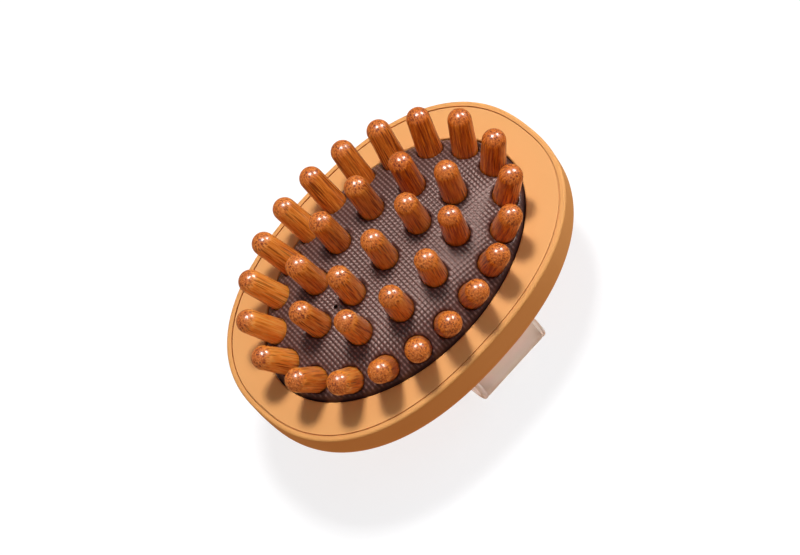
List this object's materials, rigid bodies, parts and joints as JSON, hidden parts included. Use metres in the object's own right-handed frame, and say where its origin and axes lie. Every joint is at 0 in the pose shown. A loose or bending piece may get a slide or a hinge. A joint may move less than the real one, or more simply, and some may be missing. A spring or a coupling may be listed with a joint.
{
  "type": "scalp massager brush",
  "caption": "Palm-size oval air-cushion massage brush: rounded bamboo pins in a domed rubber cushion, flat face ring, cupped back and a soft translucent hand strap.",
  "frame": {"origin": "on the resting surface, under the middle of the brush, on the flat underside of the hand strap", "axes": "+X along the brush's long axis, +Y along its short axis, +Z the way the pins point"},
  "size_m": [0.0978, 0.0676, 0.0543],
  "materials": {
    "shell_plastic": "satin moulded plastic, tan",
    "ring_plastic": "satin moulded plastic, tan",
    "cushion_rubber": "dark mauve-brown rubber embossed with a fine square grid of dots",
    "bamboo": "carbonised bamboo, turned and lacquered, with fine lengthwise streaks",
    "strap_tpu": "soft translucent thermoplastic, pale pinkish beige",
    "clamp_plastic": "black moulded plastic",
    "steel": "zinc-plated steel"
  },
  "bodies": {
    "brush_body": {"back_shell": "shell_plastic", "face_ring": "ring_plastic", "cushion": "cushion_rubber", "cushion_clamp": "clamp_plastic", "clamp_screws": "steel", "hand_strap": "strap_tpu", "strap_bar_left": "steel", "strap_bar_right": "steel"},
    "pin_outer_01": {"pin_outer_01": "bamboo"},
    "pin_outer_02": {"pin_outer_02": "bamboo"},
    "pin_outer_03": {"pin_outer_03": "bamboo"},
    "pin_outer_04": {"pin_outer_04": "bamboo"},
    "pin_outer_05": {"pin_outer_05": "bamboo"},
    "pin_outer_06": {"pin_outer_06": "bamboo"},
    "pin_outer_07": {"pin_outer_07": "bamboo"},
    "pin_outer_08": {"pin_outer_08": "bamboo"},
    "pin_outer_09": {"pin_outer_09": "bamboo"},
    "pin_outer_10": {"pin_outer_10": "bamboo"},
    "pin_outer_11": {"pin_outer_11": "bamboo"},
    "pin_outer_12": {"pin_outer_12": "bamboo"},
    "pin_outer_13": {"pin_outer_13": "bamboo"},
    "pin_outer_14": {"pin_outer_14": "bamboo"},
    "pin_outer_15": {"pin_outer_15": "bamboo"},
    "pin_outer_16": {"pin_outer_16": "bamboo"},
    "pin_outer_17": {"pin_outer_17": "bamboo"},
    "pin_outer_18": {"pin_outer_18": "bamboo"},
    "pin_outer_19": {"pin_outer_19": "bamboo"},
    "pin_outer_20": {"pin_outer_20": "bamboo"},
    "pin_inner_01": {"pin_inner_01": "bamboo"},
    "pin_inner_02": {"pin_inner_02": "bamboo"},
    "pin_inner_03": {"pin_inner_03": "bamboo"},
    "pin_inner_04": {"pin_inner_04": "bamboo"},
    "pin_inner_05": {"pin_inner_05": "bamboo"},
    "pin_inner_06": {"pin_inner_06": "bamboo"},
    "pin_inner_07": {"pin_inner_07": "bamboo"},
    "pin_inner_08": {"pin_inner_08": "bamboo"},
    "pin_inner_09": {"pin_inner_09": "bamboo"},
    "pin_inner_10": {"pin_inner_10": "bamboo"},
    "pin_centre_01": {"pin_centre_01": "bamboo"},
    "pin_centre_02": {"pin_centre_02": "bamboo"},
    "pin_centre_03": {"pin_centre_03": "bamboo"}
  },
  "joints": [
    {"name": "pin_outer_01_press", "type": "slide", "parent": "brush_body", "child": "pin_outer_01", "axis": [-0.3723, 0.0609, -0.9261], "range_m": [0, 0.003], "stiffness_N_per_m": 300},
    {"name": "pin_outer_02_press", "type": "slide", "parent": "brush_body", "child": "pin_outer_02", "axis": [-0.3577, -0.1518, -0.9214], "range_m": [0, 0.003], "stiffness_N_per_m": 300},
    {"name": "pin_outer_03_press", "type": "slide", "parent": "brush_body", "child": "pin_outer_03", "axis": [-0.2919, -0.3165, -0.9026], "range_m": [0, 0.003], "stiffness_N_per_m": 300},
    {"name": "pin_outer_04_press", "type": "slide", "parent": "brush_body", "child": "pin_outer_04", "axis": [-0.2064, -0.4208, -0.8834], "range_m": [0, 0.003], "stiffness_N_per_m": 300},
    {"name": "pin_outer_05_press", "type": "slide", "parent": "brush_body", "child": "pin_outer_05", "axis": [-0.1162, -0.4791, -0.87], "range_m": [0, 0.003], "stiffness_N_per_m": 300},
    {"name": "pin_outer_06_press", "type": "slide", "parent": "brush_body", "child": "pin_outer_06", "axis": [-0.0254, -0.5027, -0.8641], "range_m": [0, 0.003], "stiffness_N_per_m": 300},
    {"name": "pin_outer_07_press", "type": "slide", "parent": "brush_body", "child": "pin_outer_07", "axis": [0.0653, -0.4962, -0.8658], "range_m": [0, 0.003], "stiffness_N_per_m": 300},
    {"name": "pin_outer_08_press", "type": "slide", "parent": "brush_body", "child": "pin_outer_08", "axis": [0.156, -0.4582, -0.875], "range_m": [0, 0.003], "stiffness_N_per_m": 300},
    {"name": "pin_outer_09_press", "type": "slide", "parent": "brush_body", "child": "pin_outer_09", "axis": [0.2451, -0.3815, -0.8913], "range_m": [0, 0.003], "stiffness_N_per_m": 300},
    {"name": "pin_outer_10_press", "type": "slide", "parent": "brush_body", "child": "pin_outer_10", "axis": [0.3248, -0.252, -0.9116], "range_m": [0, 0.003], "stiffness_N_per_m": 300},
    {"name": "pin_outer_11_press", "type": "slide", "parent": "brush_body", "child": "pin_outer_11", "axis": [0.3723, -0.0609, -0.9261], "range_m": [0, 0.003], "stiffness_N_per_m": 300},
    {"name": "pin_outer_12_press", "type": "slide", "parent": "brush_body", "child": "pin_outer_12", "axis": [0.3577, 0.1518, -0.9214], "range_m": [0, 0.003], "stiffness_N_per_m": 300},
    {"name": "pin_outer_13_press", "type": "slide", "parent": "brush_body", "child": "pin_outer_13", "axis": [0.2919, 0.3165, -0.9026], "range_m": [0, 0.003], "stiffness_N_per_m": 300},
    {"name": "pin_outer_14_press", "type": "slide", "parent": "brush_body", "child": "pin_outer_14", "axis": [0.2064, 0.4208, -0.8834], "range_m": [0, 0.003], "stiffness_N_per_m": 300},
    {"name": "pin_outer_15_press", "type": "slide", "parent": "brush_body", "child": "pin_outer_15", "axis": [0.1162, 0.4791, -0.87], "range_m": [0, 0.003], "stiffness_N_per_m": 300},
    {"name": "pin_outer_16_press", "type": "slide", "parent": "brush_body", "child": "pin_outer_16", "axis": [0.0254, 0.5027, -0.8641], "range_m": [0, 0.003], "stiffness_N_per_m": 300},
    {"name": "pin_outer_17_press", "type": "slide", "parent": "brush_body", "child": "pin_outer_17", "axis": [-0.0653, 0.4962, -0.8658], "range_m": [0, 0.003], "stiffness_N_per_m": 300},
    {"name": "pin_outer_18_press", "type": "slide", "parent": "brush_body", "child": "pin_outer_18", "axis": [-0.156, 0.4582, -0.875], "range_m": [0, 0.003], "stiffness_N_per_m": 300},
    {"name": "pin_outer_19_press", "type": "slide", "parent": "brush_body", "child": "pin_outer_19", "axis": [-0.2451, 0.3815, -0.8913], "range_m": [0, 0.003], "stiffness_N_per_m": 300},
    {"name": "pin_outer_20_press", "type": "slide", "parent": "brush_body", "child": "pin_outer_20", "axis": [-0.3248, 0.252, -0.9116], "range_m": [0, 0.003], "stiffness_N_per_m": 300},
    {"name": "pin_inner_01_press", "type": "slide", "parent": "brush_body", "child": "pin_inner_01", "axis": [-0.1373, 0.0183, -0.9904], "range_m": [0, 0.003], "stiffness_N_per_m": 300},
    {"name": "pin_inner_02_press", "type": "slide", "parent": "brush_body", "child": "pin_inner_02", "axis": [-0.0978, -0.1007, -0.9901], "range_m": [0, 0.003], "stiffness_N_per_m": 300},
    {"name": "pin_inner_03_press", "type": "slide", "parent": "brush_body", "child": "pin_inner_03", "axis": [-0.0342, -0.1325, -0.9906], "range_m": [0, 0.003], "stiffness_N_per_m": 300},
    {"name": "pin_inner_04_press", "type": "slide", "parent": "brush_body", "child": "pin_inner_04", "axis": [0.0207, -0.1344, -0.9907], "range_m": [0, 0.003], "stiffness_N_per_m": 300},
    {"name": "pin_inner_05_press", "type": "slide", "parent": "brush_body", "child": "pin_inner_05", "axis": [0.0816, -0.1137, -0.9902], "range_m": [0, 0.003], "stiffness_N_per_m": 300},
    {"name": "pin_inner_06_press", "type": "slide", "parent": "brush_body", "child": "pin_inner_06", "axis": [0.1373, -0.0183, -0.9904], "range_m": [0, 0.003], "stiffness_N_per_m": 300},
    {"name": "pin_inner_07_press", "type": "slide", "parent": "brush_body", "child": "pin_inner_07", "axis": [0.0978, 0.1007, -0.9901], "range_m": [0, 0.003], "stiffness_N_per_m": 300},
    {"name": "pin_inner_08_press", "type": "slide", "parent": "brush_body", "child": "pin_inner_08", "axis": [0.0342, 0.1325, -0.9906], "range_m": [0, 0.003], "stiffness_N_per_m": 300},
    {"name": "pin_inner_09_press", "type": "slide", "parent": "brush_body", "child": "pin_inner_09", "axis": [-0.0207, 0.1344, -0.9907], "range_m": [0, 0.003], "stiffness_N_per_m": 300},
    {"name": "pin_inner_10_press", "type": "slide", "parent": "brush_body", "child": "pin_inner_10", "axis": [-0.0816, 0.1137, -0.9902], "range_m": [0, 0.003], "stiffness_N_per_m": 300},
    {"name": "pin_centre_01_press", "type": "slide", "parent": "brush_body", "child": "pin_centre_01", "axis": [0.0239, 0, -0.9997], "range_m": [0, 0.003], "stiffness_N_per_m": 300},
    {"name": "pin_centre_02_press", "type": "slide", "parent": "brush_body", "child": "pin_centre_02", "axis": [0, 0, -1], "range_m": [0, 0.003], "stiffness_N_per_m": 300},
    {"name": "pin_centre_03_press", "type": "slide", "parent": "brush_body", "child": "pin_centre_03", "axis": [-0.0239, 0, -0.9997], "range_m": [0, 0.003], "stiffness_N_per_m": 300}
  ]
}
